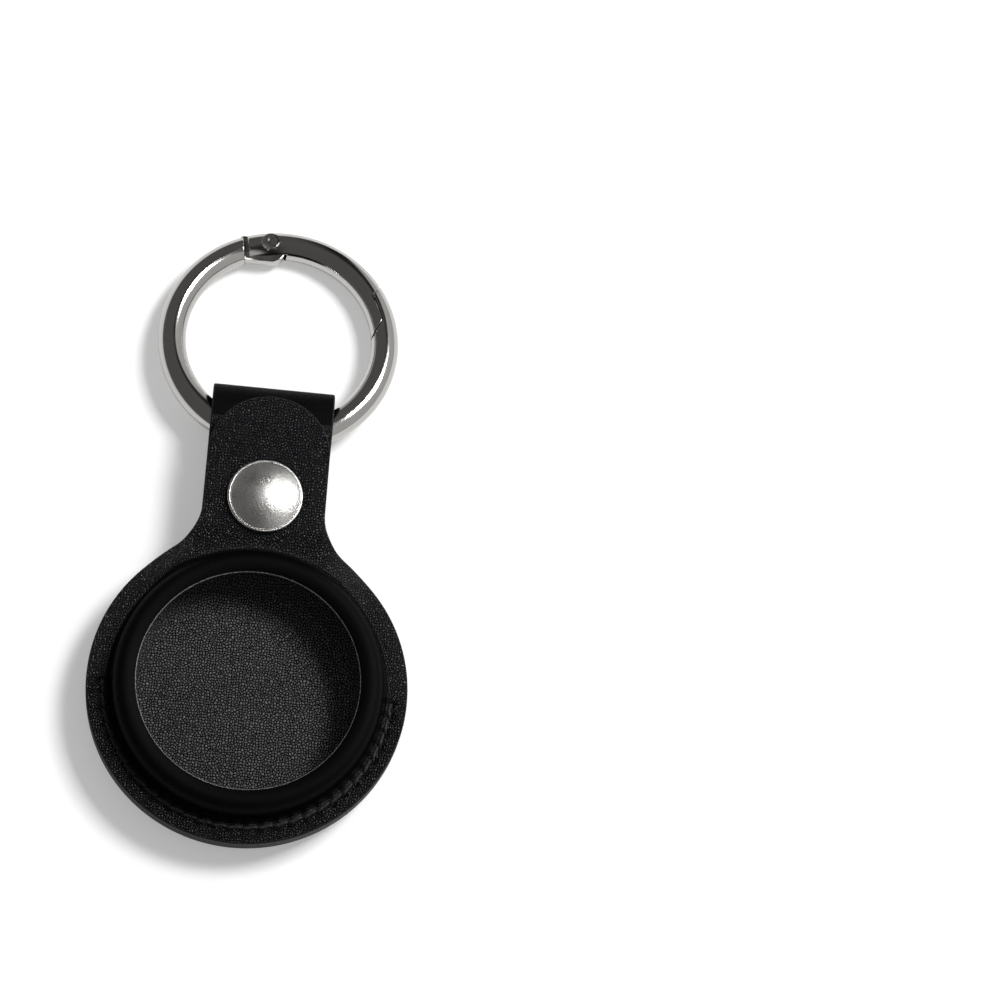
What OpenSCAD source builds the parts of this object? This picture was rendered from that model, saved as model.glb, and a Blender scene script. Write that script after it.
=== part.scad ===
// Leather holder for a round tracker tag, with a press snap and a spring gate ring.
// The origin is on the pocket's axis, at the flat bottom of the dome. +Z points out of
// the window, and +Y runs along the strap to the ring. The holder lies on its dome.

/* [Tag pocket] */
// Diameter of the round tag that the pocket takes
tag_d = 31.9; // [31:0.1:33]
// Thickness of that tag
tag_h = 8; // [7.8:0.1:8.6]
// Radial room between the tag and the rim's wall
tag_gap = 0.45; // [0.3:0.05:0.8]
// Diameter of the round window in the front
window_d = 29; // [28:0.1:30]
// Width of the stitched flange outside the rim's wall
flange_w = 3.5; // [3:0.1:4.5]
// Height of the flange's underside over the dome's flat bottom
dome_h = 3.2; // [3:0.1:3.8]
// Radius of the bend from the dome's bottom to its side
dome_bend = 6.5; // [5.5:0.1:7]
// Radius of the fillet at the foot of the dome
dome_foot = 0.6; // [0.4:0.05:0.8]
// Outer radius of the bend at the top of the rim
rim_bend = 1.5; // [1.3:0.05:1.8]
// Radius of the lip's slope from the crest to the window
lip_bend = 2.8; // [2.4:0.1:4]
// Radius of the fillet at the foot of the rim
rim_foot = 0.7; // [0.4:0.05:0.9]

/* [Leather] */
// Thickness of the front and back leather
leather_t = 1.2; // [1:0.05:1.25]
// Thickness of the lining
lining_t = 0.6; // [0.4:0.05:0.8]
// Thickness of the leather where it is skived to fold round the ring
fold_t = 0.9; // [0.7:0.05:1.1]
// Gap under the loose upper half of the front
flap_gap = 0.1; // [0.05:0.01:0.2]

/* [Strap and tongue] */
// Width of the strap and the tongue
strap_w = 16.4; // [15:0.1:17]
// Distance from the edge of the pocket's disc to the snap
snap_off = 4; // [3.9:0.1:5]
// Distance from the snap to the centre of the fold
fold_off = 12.4; // [11.9:0.1:16]
// Distance from the centre of the fold to the tip of the tongue
tip_off = 1.5; // [0.5:0.1:3]
// Drop of the tongue between the snap and the rim
tongue_dip = 0.85; // [0.5:0.05:1]
// Fillet between the front disc and the tongue
front_fillet = 7; // [4:0.5:8]
// Fillet between the back disc and the strap
back_fillet = 1.5; // [0.5:0.25:2]

/* [Stitching] */
// Number of stitches round the lower half
stitches = 29; // [24:1:32]
// Thread diameter
thread_d = 0.5; // [0.3:0.05:0.55]
// Distance from the foot of the rim to the row of stitches
stitch_in = 0.6; // [0.5:0.05:0.8]
// Angle round the lower half that the row of stitches covers
stitch_turn = 176; // [168:1:176]

/* [Snap] */
// Diameter of both snap caps
cap_d = 10; // [9:0.1:10.2]
// Height of a cap over the leather
cap_h = 1.9; // [1.7:0.05:2.1]
// Sheet thickness of the caps, posts, stud and socket plate
sheet_t = 0.3; // [0.25:0.01:0.32]
// Height between the folded strap and the tongue
snap_gap = 2.6; // [2.55:0.01:2.8]
// Diameter of the stud's head
stud_d = 4.1; // [3.9:0.05:4.2]
// Diameter of the stud's base
base_d = 6.8; // [6:0.1:7.2]
// Outer diameter of the socket
socket_d = 8; // [7.6:0.1:8.6]
// Outer diameter of the tubular posts
post_d = 2.4; // [2.2:0.05:2.5]

/* [Ring] */
// Diameter of the ring's hole
ring_hole_d = 25.25; // [25:0.05:27]
// Diameter of the ring's wire
wire_d = 3.75; // [3.6:0.05:3.9]
// Distance from the swing axis to the centre of the fold
ring_slack = 1.05; // [0.8:0.01:1.4]
// Place of the gate's pin round the ring, counted from +X
pin_turn = 99; // [95:1:103]
// Place of the lap joint's outer step round the ring
lap_top = 31; // [29:0.5:33]
// Place of the lap joint's inner step round the ring
lap_low = 16; // [14:0.5:18]

/* [Print] */
// Diameter of the plain printed disc on the dome
print_d = 20; // [16:0.5:22]

/* [Motion] */
// Angle that the flap lifts to let the tag in
flap_open = 40; // [30:1:42]

/* [Hidden] */
$fn = 96;
// How far a cutting tool runs past what it cuts
over = 1;
// How deep two shapes of one piece run into each other
fuse = 0.2;
// How deep a fillet's round runs into the disc, so that the two cross
fillet_bite = 0.01;
// Steps along a wide bend and along a tight bend of an outline
bend_n = 8;
tight_n = 4;

// Levels over the dome's flat bottom: lining, parting of front and back, front
lining_z = dome_h + leather_t;
part_z = lining_z + lining_t;
front_z = part_z + leather_t;
floor_z = leather_t + lining_t;
crest_z = floor_z + tag_h;
rim_z = crest_z - rim_bend;

// Radii of the pocket: rim wall, crest, foot and edge
wall_in = tag_d / 2 + tag_gap;
wall_out = wall_in + leather_t;
disc_r = wall_out + flange_w;
crest_r = wall_out - rim_bend;
foot_r = wall_out + rim_foot;
lip_turn = asin((crest_r - window_d / 2) / lip_bend);
stitch_r = foot_r + stitch_in;

// Places along the strap, counted from the pocket's axis
snap_y = disc_r + snap_off;
fold_y = snap_y + fold_off;
tip_y = fold_y + tip_off;

// Dome: its bend and the fillet at its foot touch each other
dome_rise = dome_bend - dome_h + dome_foot;
dome_reach = sqrt((dome_bend + dome_foot) * (dome_bend + dome_foot) - dome_rise * dome_rise);
base_r = foot_r - dome_reach;
dome_turn = asin(dome_reach / (dome_bend + dome_foot));

// Ring in the loop: its wire is curved, so it sweeps a wider round as it swings
half_w = strap_w / 2;
wire_r = wire_d / 2;
ring_r = (ring_hole_d + wire_d) / 2;
ring_near = sqrt((ring_r - wire_r) * (ring_r - wire_r) - half_w * half_w);
swing_r = (ring_r + wire_r - ring_near) / 2;
ring_c = (ring_r + wire_r + ring_near) / 2;
loop_gap = 0.12;
loop_in = swing_r + loop_gap;
loop_out = loop_in + fold_t;
pivot_y = fold_y - ring_slack;
pivot_z = loop_out;
rest_lift = 0.1;
rest_tilt = asin((pivot_z - wire_r - rest_lift) / (ring_c + ring_r));

// Folded strap: a hairline parts its two layers, which the rear post clamps
layer_gap = 0.05;
end_room = 0.3;
seat_room = 0.1;
return_z = lining_z + layer_gap;
stack_z = return_z + leather_t;
strap_end_y = disc_r + end_room;
seat_r = cap_d / 2 + seat_room;
pinch_y = snap_y + seat_r + end_room;
pinch_z = lining_z + layer_gap / 2;
pinch_l = norm([pivot_y - pinch_y, pivot_z - pinch_z]);
pinch_turn = atan2(pivot_z - pinch_z, pivot_y - pinch_y);
open_turn = acos(loop_in / pinch_l);
high_turn = 180 + pinch_turn - open_turn;
low_turn = 180 + pinch_turn + open_turn;

// Tongue: flat under the snap's cap, raised over the crown of the fold
tongue_z = stack_z + snap_gap;
crown_z = pivot_z + loop_out + flap_gap;
peak_z = max(crown_z, tongue_z);
top_z = tongue_z + leather_t;
dip_z = tongue_z - tongue_dip;
dip_y = foot_r + rim_foot / 2;
land_y = pivot_y - ring_slack;
slope_x = half_w + front_fillet;
reach_y = tip_y + over;
roof_z = peak_z + leather_t + over;

// Bend line of the flap, across the pocket's axis at the ends of the stitching
hinge_drop = 2.2;
hinge_z = crest_z - hinge_drop;
hinge_gap = 0.1;
gap_turn = asin(hinge_gap / 2 / wall_in);
notch_turn = flap_open / 2 + 1;

// Thread and its holes
hole_room = 0.05;
hole_d = thread_d + 2 * hole_room;
thread_lift = 0.02;
lock_gap = 0.04;
lock_z = (lining_z + part_z) / 2;

// Snap
snap_fit = 0.03;
lip_t = 0.15;
lip_w = 1.4;
cap_edge = 0.35;
post_r = post_d / 2;
post_wall = 0.25;
clench_w = 0.2;
clench_t = 0.2;
flange_room = 0.1;
flange_r = cap_d / 2 - lip_w / 2 - flange_room;
neck_d = 3.5;
neck_z = 1.25;
head_z = 1.45;
head_top_z = 1.7;
stud_h = 2;
socket_lift = 0.45;
bore_room = 0.2;
ring_wire_d = 0.6;
ring_wire_gap = 0.1;
groove_lip = 0.15;
groove_h = 0.65;
groove_room = 0.2;
groove_r = neck_d / 2 + ring_wire_gap + ring_wire_d + groove_room;
split_turn = 50;

// Gate of the ring
lug_t = 1.5;
lug_r = 2.1;
lug_off = 0.55;
neck_share = 0.7;
fork_gap = 0.1;
slot_r = 2.75;
heel_l = 3.2;
slit_w = 0.6;
pin_d = 1.5;
pin_fit = 0.03;
head_d = 2.3;
head_t = 0.4;
head_fit = 0.05;
head_top = 1.87;
dimple_d = 0.9;
dimple_h = 0.3;
lap_gap = 0.12;
lap_relief = 5;
lap_side = 9;
pusher_d = 1.4;
pusher_l = 1.6;
pusher_off = 0.6;
pusher_seat = 0.03;
pusher_fit = 0.05;
bore_end = 6.2;
spring_room = 0.28;
coil_d = 1.1;
coil_wire_d = 0.24;
coil_turns = 4;
coil_steps = 12;
coil_sides = 6;

// Print on the dome
print_t = 0.15;
print_fit = 0.02;

// Colours
hide = [0.1, 0.1, 0.105];
hide_in = [0.16, 0.16, 0.165];
yarn = [0.05, 0.05, 0.05];
blue = [0.17, 0.66, 0.89];
nickel = [0.8, 0.8, 0.82];

// Points along an arc of a circle round c
function arc(c, r, a0, a1, n = bend_n) = [for (i = [0 : n])
    let (a = a0 + (a1 - a0) * i / n) [c[0] + r * cos(a), c[1] + r * sin(a)]];

// Point at an angle and a radius
function polar(r, a) = [r * cos(a), r * sin(a)];

// Side of the dome at a depth from its outer face, from the flat bottom up to the flange
function dome_side(depth) = concat(
    arc([base_r, dome_bend], dome_bend - depth, -90, -90 + dome_turn),
    arc([foot_r, dome_h - dome_foot], dome_foot + depth, 90 + dome_turn, 90, tight_n));

// The same points in the other order
function reversed(points) = [for (i = [len(points) - 1 : -1 : 0]) points[i]];

// Closed outline of a dome layer between two depths from the dome's outer face
function dome_layer(low, high, edge) = concat([[0, low]], dome_side(low),
    [[edge, dome_h + low], [edge, dome_h + high]], reversed(dome_side(high)), [[0, high]]);

// Closed outline of everything inside the dome at a depth, closed at a level
function dome_core(depth, level) = concat([[0, depth]], dome_side(depth),
    [[foot_r, level], [0, level]]);

// Closed outline of the front sheet: flange, foot, wall, crest and lip
function front_layer() = concat(
    [[disc_r, part_z], [disc_r, front_z]],
    arc([foot_r, front_z + rim_foot], rim_foot, 270, 180, tight_n),
    arc([crest_r, rim_z], rim_bend, 0, 90, tight_n + 1),
    arc([crest_r, crest_z - lip_bend], lip_bend, 90, 90 + lip_turn, tight_n),
    arc([crest_r, crest_z - lip_bend], lip_bend - leather_t, 90 + lip_turn, 90, tight_n),
    arc([crest_r, rim_z], rim_bend - leather_t, 90, 0, 2),
    arc([foot_r, front_z + rim_foot], rim_foot + leather_t, 180, 270, tight_n));

// Underside of the tongue along Y, raised by lift
function tongue_line(lift) = [[0, dip_z + lift], [dip_y, dip_z + lift],
    [snap_y - seat_r, tongue_z + lift], [snap_y + seat_r, tongue_z + lift],
    [land_y, crown_z + lift], [reach_y, crown_z + lift]];

// Underside of the raised sheet across X, from the flange up to the tongue
function saddle_line(low, high) = [[-disc_r - over, low], [-slope_x, low], [-half_w, high],
    [half_w, high], [slope_x, low], [disc_r + over, low]];

// Turns a side view, drawn as Y and Z, into a solid across the strap
module across(width) {
    rotate([90, 0, 90]) linear_extrude(height = width, center = true) children();
}

// Turns an end view, drawn as X and Z, into a solid along the strap
module along(length) {
    rotate([90, 0, 0]) linear_extrude(height = length, center = true) children();
}

// Fillet between the disc and one side of the strap, seen from above
module shoulder(r) {
    cx = half_w + r;
    reach = disc_r + r - fillet_bite;
    cy = sqrt(reach * reach - cx * cx);
    difference() {
        polygon([[0, 0], [cx, cy], [0, cy]]);
        translate([cx, cy]) circle(r = r);
    }
}

// Strip of the strap with both fillets at the disc, seen from above
module strap_plan(r, length) {
    translate([-half_w, 0]) square([strap_w, length]);
    shoulder(r);
    mirror([1, 0]) shoulder(r);
}

// Needle holes through all layers, and the threads' places
module stitch_places(last = stitches) {
    for (i = [0 : last])
        rotate([0, 0, -90 - stitch_turn / 2 + stitch_turn * i / stitches])
            translate([stitch_r, 0, 0]) children();
}

module needle_holes() {
    stitch_places() cylinder(d = hole_d, h = front_z + over, $fn = 24);
}

// Hole for a post of the snap through the leather, between two levels
module post_hole(low, high) {
    translate([0, snap_y, low]) cylinder(r = post_r + snap_fit, h = high - low);
}

// Side view of the loop's inside: the round of the ring, the run to the fold, the pinch
module loop_inside() {
    translate([pivot_y, pivot_z]) circle(r = loop_in);
    translate([fold_y, pivot_z]) circle(r = loop_in);
    translate([pivot_y, pivot_z - loop_in]) square([ring_slack, 2 * loop_in]);
    polygon([[pivot_y, pivot_z],
        [pivot_y + loop_in * cos(high_turn), pivot_z + loop_in * sin(high_turn)],
        [pinch_y, pinch_z],
        [pivot_y + loop_in * cos(low_turn), pivot_z + loop_in * sin(low_turn)]]);
}

// Side view of the loop's outside, with the pinched end
module loop_outside() {
    translate([pivot_y, pivot_z]) circle(r = loop_out);
    translate([fold_y, pivot_z]) circle(r = loop_out);
    translate([pivot_y, 0]) square([ring_slack, 2 * loop_out]);
    polygon([[pivot_y, pivot_z],
        [pivot_y + loop_out * cos(high_turn), pivot_z + loop_out * sin(high_turn)],
        [pinch_y, stack_z], [pinch_y, dome_h],
        [pivot_y + loop_out * cos(low_turn), pivot_z + loop_out * sin(low_turn)]]);
}

// Back leather: domed disc, strap, loop round the ring and the end under the snap
module back_panel() {
    color(hide) difference() {
        union() {
            rotate_extrude() polygon(dome_core(0, dome_h + fuse));
            translate([0, 0, dome_h]) linear_extrude(height = leather_t) {
                circle(r = disc_r);
                strap_plan(back_fillet, pinch_y + fuse);
            }
            across(strap_w) {
                loop_outside();
                translate([strap_end_y, lining_z - fuse])
                    square([pinch_y - strap_end_y + fuse, stack_z - lining_z + fuse]);
            }
        }
        rotate_extrude() polygon(dome_core(leather_t, lining_z + over));
        across(strap_w + over) {
            translate([strap_end_y - over, lining_z])
                square([pinch_y + fuse - strap_end_y + over, layer_gap]);
            loop_inside();
        }
        translate([0, 0, -over]) cylinder(d = print_d + 2 * print_fit, h = print_t + over);
        post_hole(0, stack_z + over);
        needle_holes();
    }
}

// Lining of the dome and of its flange
module back_lining() {
    color(hide_in) difference() {
        rotate_extrude() polygon(dome_layer(leather_t, floor_z, disc_r));
        needle_holes();
    }
}

// Half of the turned front, from one end of the bend line round to the other
module front_half(start) {
    rotate([0, 0, start + gap_turn]) rotate_extrude(angle = 180 - 2 * gap_turn)
        polygon(front_layer());
}

// Notch over the bend line, in which the rim closes up as the flap lifts
module bend_notch() {
    lean = (roof_z - hinge_z) * tan(notch_turn);
    across(2 * disc_r + over) polygon([[0, hinge_z], [lean, roof_z], [-lean, roof_z]]);
}

// Lower half of the front, stitched down
module front_panel() {
    color(hide) difference() {
        front_half(180);
        bend_notch();
        needle_holes();
    }
}

// All that lies under the raised sheet of the flap
module under_flap() {
    intersection() {
        across(2 * disc_r + over) polygon(concat(tongue_line(0), [[reach_y, 0], [0, 0]]));
        along(2 * reach_y) polygon(concat(saddle_line(part_z + flap_gap, peak_z),
            [[disc_r + over, 0], [-disc_r - over, 0]]));
    }
}

// All that lies over the raised sheet of the flap
module over_flap() {
    across(2 * disc_r + over) polygon(concat(tongue_line(leather_t),
        [[reach_y, roof_z], [0, roof_z]]));
    along(2 * reach_y) polygon(concat(saddle_line(front_z, peak_z + leather_t),
        [[disc_r + over, roof_z], [-disc_r - over, roof_z]]));
}

// Sheet of the tongue with its shoulders down to the flange
module tongue_sheet() {
    difference() {
        linear_extrude(height = roof_z) difference() {
            union() {
                strap_plan(front_fillet, tip_y - half_w);
                translate([0, tip_y - half_w]) circle(r = half_w);
                intersection() {
                    circle(r = disc_r);
                    translate([-slope_x, 0]) square([2 * slope_x, disc_r]);
                }
            }
            circle(r = wall_out - fuse);
        }
        over_flap();
        under_flap();
    }
}

// Upper half of the front with the tongue
module front_flap() {
    color(hide) difference() {
        union() {
            tongue_sheet();
            difference() {
                front_half(0);
                under_flap();
            }
        }
        bend_notch();
        post_hole(tongue_z - over, top_z + over);
    }
}

// One thread: a bar over each stitch and a knot with a leg in each hole, up to the lock
module thread(bar_z, end_z) {
    chord = 2 * stitch_r * sin(stitch_turn / stitches / 2);
    tip_z = bar_z + sign(bar_z - end_z) * (thread_d / 2 + thread_lift);
    stitch_places(stitches - 1)
        rotate([0, 0, stitch_turn / stitches / 2]) translate([0, 0, bar_z])
            rotate([-90, 0, 0]) cylinder(d = thread_d, h = chord, $fn = 16);
    stitch_places()
        translate([0, 0, min(tip_z, end_z)])
            cylinder(d = thread_d + hole_room, h = abs(end_z - tip_z), $fn = 16);
}

// Thread of the stitches seen on the front
module needle_thread() {
    color(yarn) thread(front_z + thread_lift + thread_d / 2, lock_z + lock_gap / 2);
}

// Thread of the stitches seen on the back
module bobbin_thread() {
    color(yarn) thread(dome_h - thread_lift - thread_d / 2, lock_z - lock_gap / 2);
}

// Plain printed disc, flush in the dome's bottom
module print_disc() {
    color(blue) cylinder(d = print_d, h = print_t);
}

// Domed cap whose edge is turned in under the post's flange
module cap() {
    edge_r = cap_d / 2;
    sag = cap_h - cap_edge;
    ball_r = (edge_r * edge_r + sag * sag) / (2 * sag);
    ball_z = cap_h - ball_r;
    in_r = ball_r - sheet_t;
    rotate_extrude() polygon(concat(
        arc([0, ball_z], ball_r, 90, acos(edge_r / ball_r)),
        [[edge_r, 0], [edge_r - lip_w, 0], [edge_r - lip_w, lip_t]],
        arc([0, ball_z], in_r, asin((lip_t - ball_z) / in_r), 90)));
}

// Tubular post: flange inside the cap, tube through the leather, clenched end
module post(grip) {
    tail = grip + clench_t;
    in_r = post_r - post_wall;
    rotate_extrude() polygon([
        [in_r, lip_t + sheet_t], [flange_r, lip_t + sheet_t], [flange_r, lip_t],
        [post_r, lip_t], [post_r, -grip], [post_r + clench_w, -grip],
        [post_r + clench_w, -tail], [in_r, -tail]]);
}

module front_cap() {
    color(nickel) translate([0, snap_y, top_z]) cap();
}

module rear_cap() {
    color(nickel) translate([0, snap_y, dome_h]) mirror([0, 0, 1]) cap();
}

module front_post() {
    color(nickel) translate([0, snap_y, top_z]) post(leather_t + sheet_t);
}

module rear_post() {
    color(nickel) translate([0, snap_y, dome_h]) mirror([0, 0, 1])
        post(stack_z - dome_h + sheet_t);
}

// Stud pressed from sheet: base, neck and hollow head
module snap_stud() {
    neck_r = neck_d / 2;
    head_r = stud_d / 2;
    hole_r = post_r + snap_fit;
    top_r = head_r - (stud_h - head_top_z);
    color(nickel) translate([0, snap_y, stack_z]) rotate_extrude() polygon([
        [hole_r, 0], [base_d / 2, 0], [base_d / 2, sheet_t], [neck_r, sheet_t],
        [neck_r, neck_z], [head_r, head_z], [head_r, head_top_z], [top_r, stud_h],
        [0, stud_h], [0, stud_h - sheet_t], [top_r - clench_w, stud_h - sheet_t],
        [neck_r - sheet_t, neck_z], [neck_r - sheet_t, sheet_t], [hole_r, sheet_t]]);
}

// Socket under the tongue: plate, wall, groove for the split ring and lower lip
module snap_socket() {
    bore_r = stud_d / 2 + bore_room;
    groove_z = socket_lift + groove_lip;
    color(nickel) translate([0, snap_y, stack_z]) rotate_extrude() polygon([
        [post_r + snap_fit, snap_gap], [socket_d / 2, snap_gap],
        [socket_d / 2, socket_lift], [bore_r, socket_lift], [bore_r, groove_z],
        [groove_r, groove_z], [groove_r, groove_z + groove_h],
        [bore_r, groove_z + groove_h], [bore_r, snap_gap - sheet_t],
        [post_r + snap_fit, snap_gap - sheet_t]]);
}

// Split ring spring in the socket's groove, round the stud's neck
module socket_spring() {
    ring_wire_r = neck_d / 2 + ring_wire_gap + ring_wire_d / 2;
    color(nickel) translate([0, snap_y, stack_z + socket_lift + groove_lip + groove_h / 2])
        rotate([0, 0, 90 + split_turn / 2]) rotate_extrude(angle = 360 - split_turn)
            translate([ring_wire_r, 0]) circle(d = ring_wire_d, $fn = 24);
}

// Places things in the plane of the ring, with the ring's centre as the origin
module ring_place() {
    translate([0, pivot_y, pivot_z]) rotate([-rest_tilt, 0, 0]) translate([0, ring_c, 0]) children();
}

// Places things at the gate's pin: X runs along the wire to the lap, Y outwards
module pin_place() {
    translate(polar(ring_r, pin_turn)) rotate([0, 0, pin_turn - 90]) children();
}

// Arc of the ring's wire between two angles
module wire(a0, a1) {
    rotate([0, 0, a0]) rotate_extrude(angle = a1 - a0) translate([ring_r, 0]) circle(r = wire_r);
}

// Angle of a step of the lap, so that the gate's end swings clear of the body
function step_turn(a) = let (d = polar(ring_r, a) - polar(ring_r, pin_turn))
    atan2(d[1], d[0]) - 90 + lap_relief;

// Half plane on the body's side of a lap step, moved towards the gate by shift
module body_side(a, shift) {
    translate(polar(ring_r, a)) rotate(step_turn(a)) translate([-ring_r, -shift])
        square([2 * ring_r, ring_r]);
}

// What belongs to the body at the lap, grown by shift, seen from above
module lap_body(shift) {
    body_side(lap_low, shift);
    difference() {
        body_side(lap_top, shift);
        circle(r = ring_r - shift);
    }
}

// Fixed arc of the ring with its hinge lug
module ring_body() {
    tail = heel_l + slit_w;
    color(nickel) ring_place() {
        difference() {
            wire(pin_turn, 360 + lap_top + lap_side);
            linear_extrude(height = wire_d + over, center = true) difference() {
                translate([ring_r / 2, 0]) square(ring_r);
                lap_body(0);
            }
            pin_place() translate([-tail, -wire_d, -wire_d])
                cube([tail + slot_r, 2 * wire_d, 2 * wire_d]);
        }
        pin_place() difference() {
            linear_extrude(height = lug_t, center = true) {
                translate([0, -lug_off]) circle(r = lug_r);
                polygon([[-tail - fuse, -wire_r - fuse], [0, -lug_off - lug_r],
                    [0, lug_r - lug_off], [-tail - fuse, wire_r * neck_share]]);
            }
            cylinder(d = pin_d + pin_fit, h = wire_d, center = true);
        }
    }
}

// Gate of the ring: arc, fork round the lug, bore for the spring and lap end
module ring_gate() {
    slot_h = lug_t + 2 * fork_gap;
    well_z = head_top - head_t - head_fit;
    color(nickel) ring_place() difference() {
        wire(lap_low - lap_side, pin_turn + heel_l / ring_r * 90);
        linear_extrude(height = wire_d + over, center = true) lap_body(lap_gap);
        pin_place() {
            translate([-heel_l - wire_d, -wire_d, -wire_d]) cube([wire_d, 2 * wire_d, 2 * wire_d]);
            cylinder(r = slot_r, h = slot_h, center = true);
            translate([-wire_d, 0, 0]) cube([2 * wire_d, 2 * slot_r, slot_h], center = true);
            cylinder(d = pin_d + 2 * pin_fit, h = wire_d + over, center = true);
            for (side = [0, 1]) mirror([0, 0, side])
                translate([0, 0, well_z]) cylinder(d = head_d + 2 * head_fit, h = wire_d);
            translate([0, -pusher_off, 0]) rotate([0, 90, 0])
                cylinder(d = pusher_d + 2 * pusher_fit, h = bore_end);
        }
    }
}

// Rivet through fork and lug, with a dimple in both heads
module gate_pin() {
    color(nickel) ring_place() pin_place() difference() {
        union() {
            cylinder(d = pin_d, h = 2 * (head_top - head_t), center = true);
            for (side = [0, 1]) mirror([0, 0, side])
                translate([0, 0, head_top - head_t]) cylinder(d = head_d, h = head_t);
        }
        for (side = [0, 1]) mirror([0, 0, side])
            translate([0, 0, head_top - dimple_h]) cylinder(d = dimple_d, h = over);
    }
}

// Pusher in the gate's bore: it bears on the lug, which is set off the pin like a cam
module gate_pusher() {
    color(nickel) ring_place() pin_place()
        translate([lug_r + pusher_seat, -pusher_off, 0]) rotate([0, 90, 0])
            cylinder(d = pusher_d, h = pusher_l);
}

// Ring of points round the coil's wire at one step along the coil
function coil_ring(i, r, length) = let (a = 360 * i / coil_steps,
    x = coil_wire_d / 2 + length * i / (coil_steps * coil_turns))
    [for (k = [0 : coil_sides - 1]) let (b = 360 * k / coil_sides,
        q = r + coil_wire_d / 2 * cos(b))
        [x + coil_wire_d / 2 * sin(b), q * cos(a), q * sin(a)]];

// Coil spring between the pusher and the end of the bore
module gate_spring() {
    start = lug_r + pusher_seat + pusher_l + spring_room;
    length = bore_end - start - coil_wire_d;
    last = coil_steps * coil_turns;
    points = [for (i = [0 : last]) each coil_ring(i, (coil_d - coil_wire_d) / 2, length)];
    sides = [for (i = [0 : last - 1], k = [0 : coil_sides - 1]) let (n = (k + 1) % coil_sides)
        each [[i * coil_sides + k, i * coil_sides + n, (i + 1) * coil_sides + n],
            [i * coil_sides + k, (i + 1) * coil_sides + n, (i + 1) * coil_sides + k]]];
    ends = [[for (k = [coil_sides - 1 : -1 : 0]) k],
        [for (k = [0 : coil_sides - 1]) last * coil_sides + k]];
    color(nickel) ring_place() pin_place() translate([start, -pusher_off, 0])
        polyhedron(points = points, faces = concat(sides, ends), convexity = 4);
}

back_panel();
back_lining();
front_panel();
front_flap();
needle_thread();
bobbin_thread();
print_disc();
front_cap();
front_post();
snap_socket();
socket_spring();
snap_stud();
rear_post();
rear_cap();
ring_body();
ring_gate();
gate_pin();
gate_pusher();
gate_spring();
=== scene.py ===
"""Leather ring holder for a round tracker tag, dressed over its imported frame.

The holder lies on its dome with the window up. X runs across the strap, Y along it to
the ring, Z up. Sizes in the classes are millimetres, and meshes are made in metres.
"""

import logging
import math
from collections.abc import Callable, Sequence
from dataclasses import dataclass, field
from enum import Enum

import bmesh
import bpy
from mathutils import Matrix, Vector
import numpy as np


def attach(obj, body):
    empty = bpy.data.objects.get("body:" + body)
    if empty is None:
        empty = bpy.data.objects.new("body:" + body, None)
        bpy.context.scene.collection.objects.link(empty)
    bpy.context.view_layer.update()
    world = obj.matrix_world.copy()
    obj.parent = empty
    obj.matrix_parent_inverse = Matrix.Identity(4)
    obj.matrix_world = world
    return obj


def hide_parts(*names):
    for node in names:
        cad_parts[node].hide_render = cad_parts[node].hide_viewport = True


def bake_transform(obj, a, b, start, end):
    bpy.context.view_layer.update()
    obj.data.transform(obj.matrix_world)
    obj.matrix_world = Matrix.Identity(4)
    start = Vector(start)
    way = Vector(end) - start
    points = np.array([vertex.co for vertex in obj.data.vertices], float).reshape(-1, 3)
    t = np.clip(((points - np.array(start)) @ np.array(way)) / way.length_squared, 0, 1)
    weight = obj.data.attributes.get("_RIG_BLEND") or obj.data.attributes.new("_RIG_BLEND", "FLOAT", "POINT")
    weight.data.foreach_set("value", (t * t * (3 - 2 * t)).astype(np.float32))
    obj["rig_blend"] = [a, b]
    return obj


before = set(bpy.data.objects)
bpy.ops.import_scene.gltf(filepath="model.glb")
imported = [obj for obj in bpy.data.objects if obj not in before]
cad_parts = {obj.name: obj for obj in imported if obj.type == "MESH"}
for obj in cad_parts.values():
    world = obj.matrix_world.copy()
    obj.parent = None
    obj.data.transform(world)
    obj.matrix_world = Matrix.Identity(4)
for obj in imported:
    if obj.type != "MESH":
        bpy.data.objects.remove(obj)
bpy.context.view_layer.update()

MM = 0.001
# Distance in metres below which two vertices are one
WELD = 1e-7
# Angle in degrees above which an edge stays sharp, where a piece has no other
CREASE = 35.0
# Draw above which a face of the hide has lost its grain
DRAWN_FLAT = 0.62
WHITE = (1.0, 1.0, 1.0, 1.0)
LOG = logging.getLogger("tag_holder")

Point = tuple[float, float]
Spot = tuple[float, float, float, float]
Ramp = tuple[str, float, float, float, float]
Source = bpy.types.Node | bpy.types.NodeSocket


class Body(Enum):
    """Moving bodies of the holder that a piece can ride on."""

    HOLDER = "holder"
    FLAP = "flap"
    RING = "ring"
    GATE = "gate"
    PUSHER = "pusher"


class Slot(Enum):
    """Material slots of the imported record."""

    LEATHER = "leather"
    LINING = "lining"
    THREAD = "thread"
    PRINT = "print"
    NICKEL = "nickel"
    STEEL = "spring_steel"


# ---------------------------------------------------------------- small maths


def ease(low: float, high: float, value: float) -> float:
    """Rises smoothly from 0 at low to 1 at high.

    Args:
        low: Value at which the rise starts.
        high: Value at which it ends.
        value: Value that is looked up.

    Returns:
        Share between 0 and 1.
    """
    t = min(1.0, max(0.0, (value - low) / (high - low)))
    return t * t * (3.0 - 2.0 * t)


def bell(distance: float, width: float) -> float:
    """Returns a bell curve's height, from 1 at no distance, for a bell of that width."""
    return math.exp(-((distance / width) ** 2))


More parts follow.
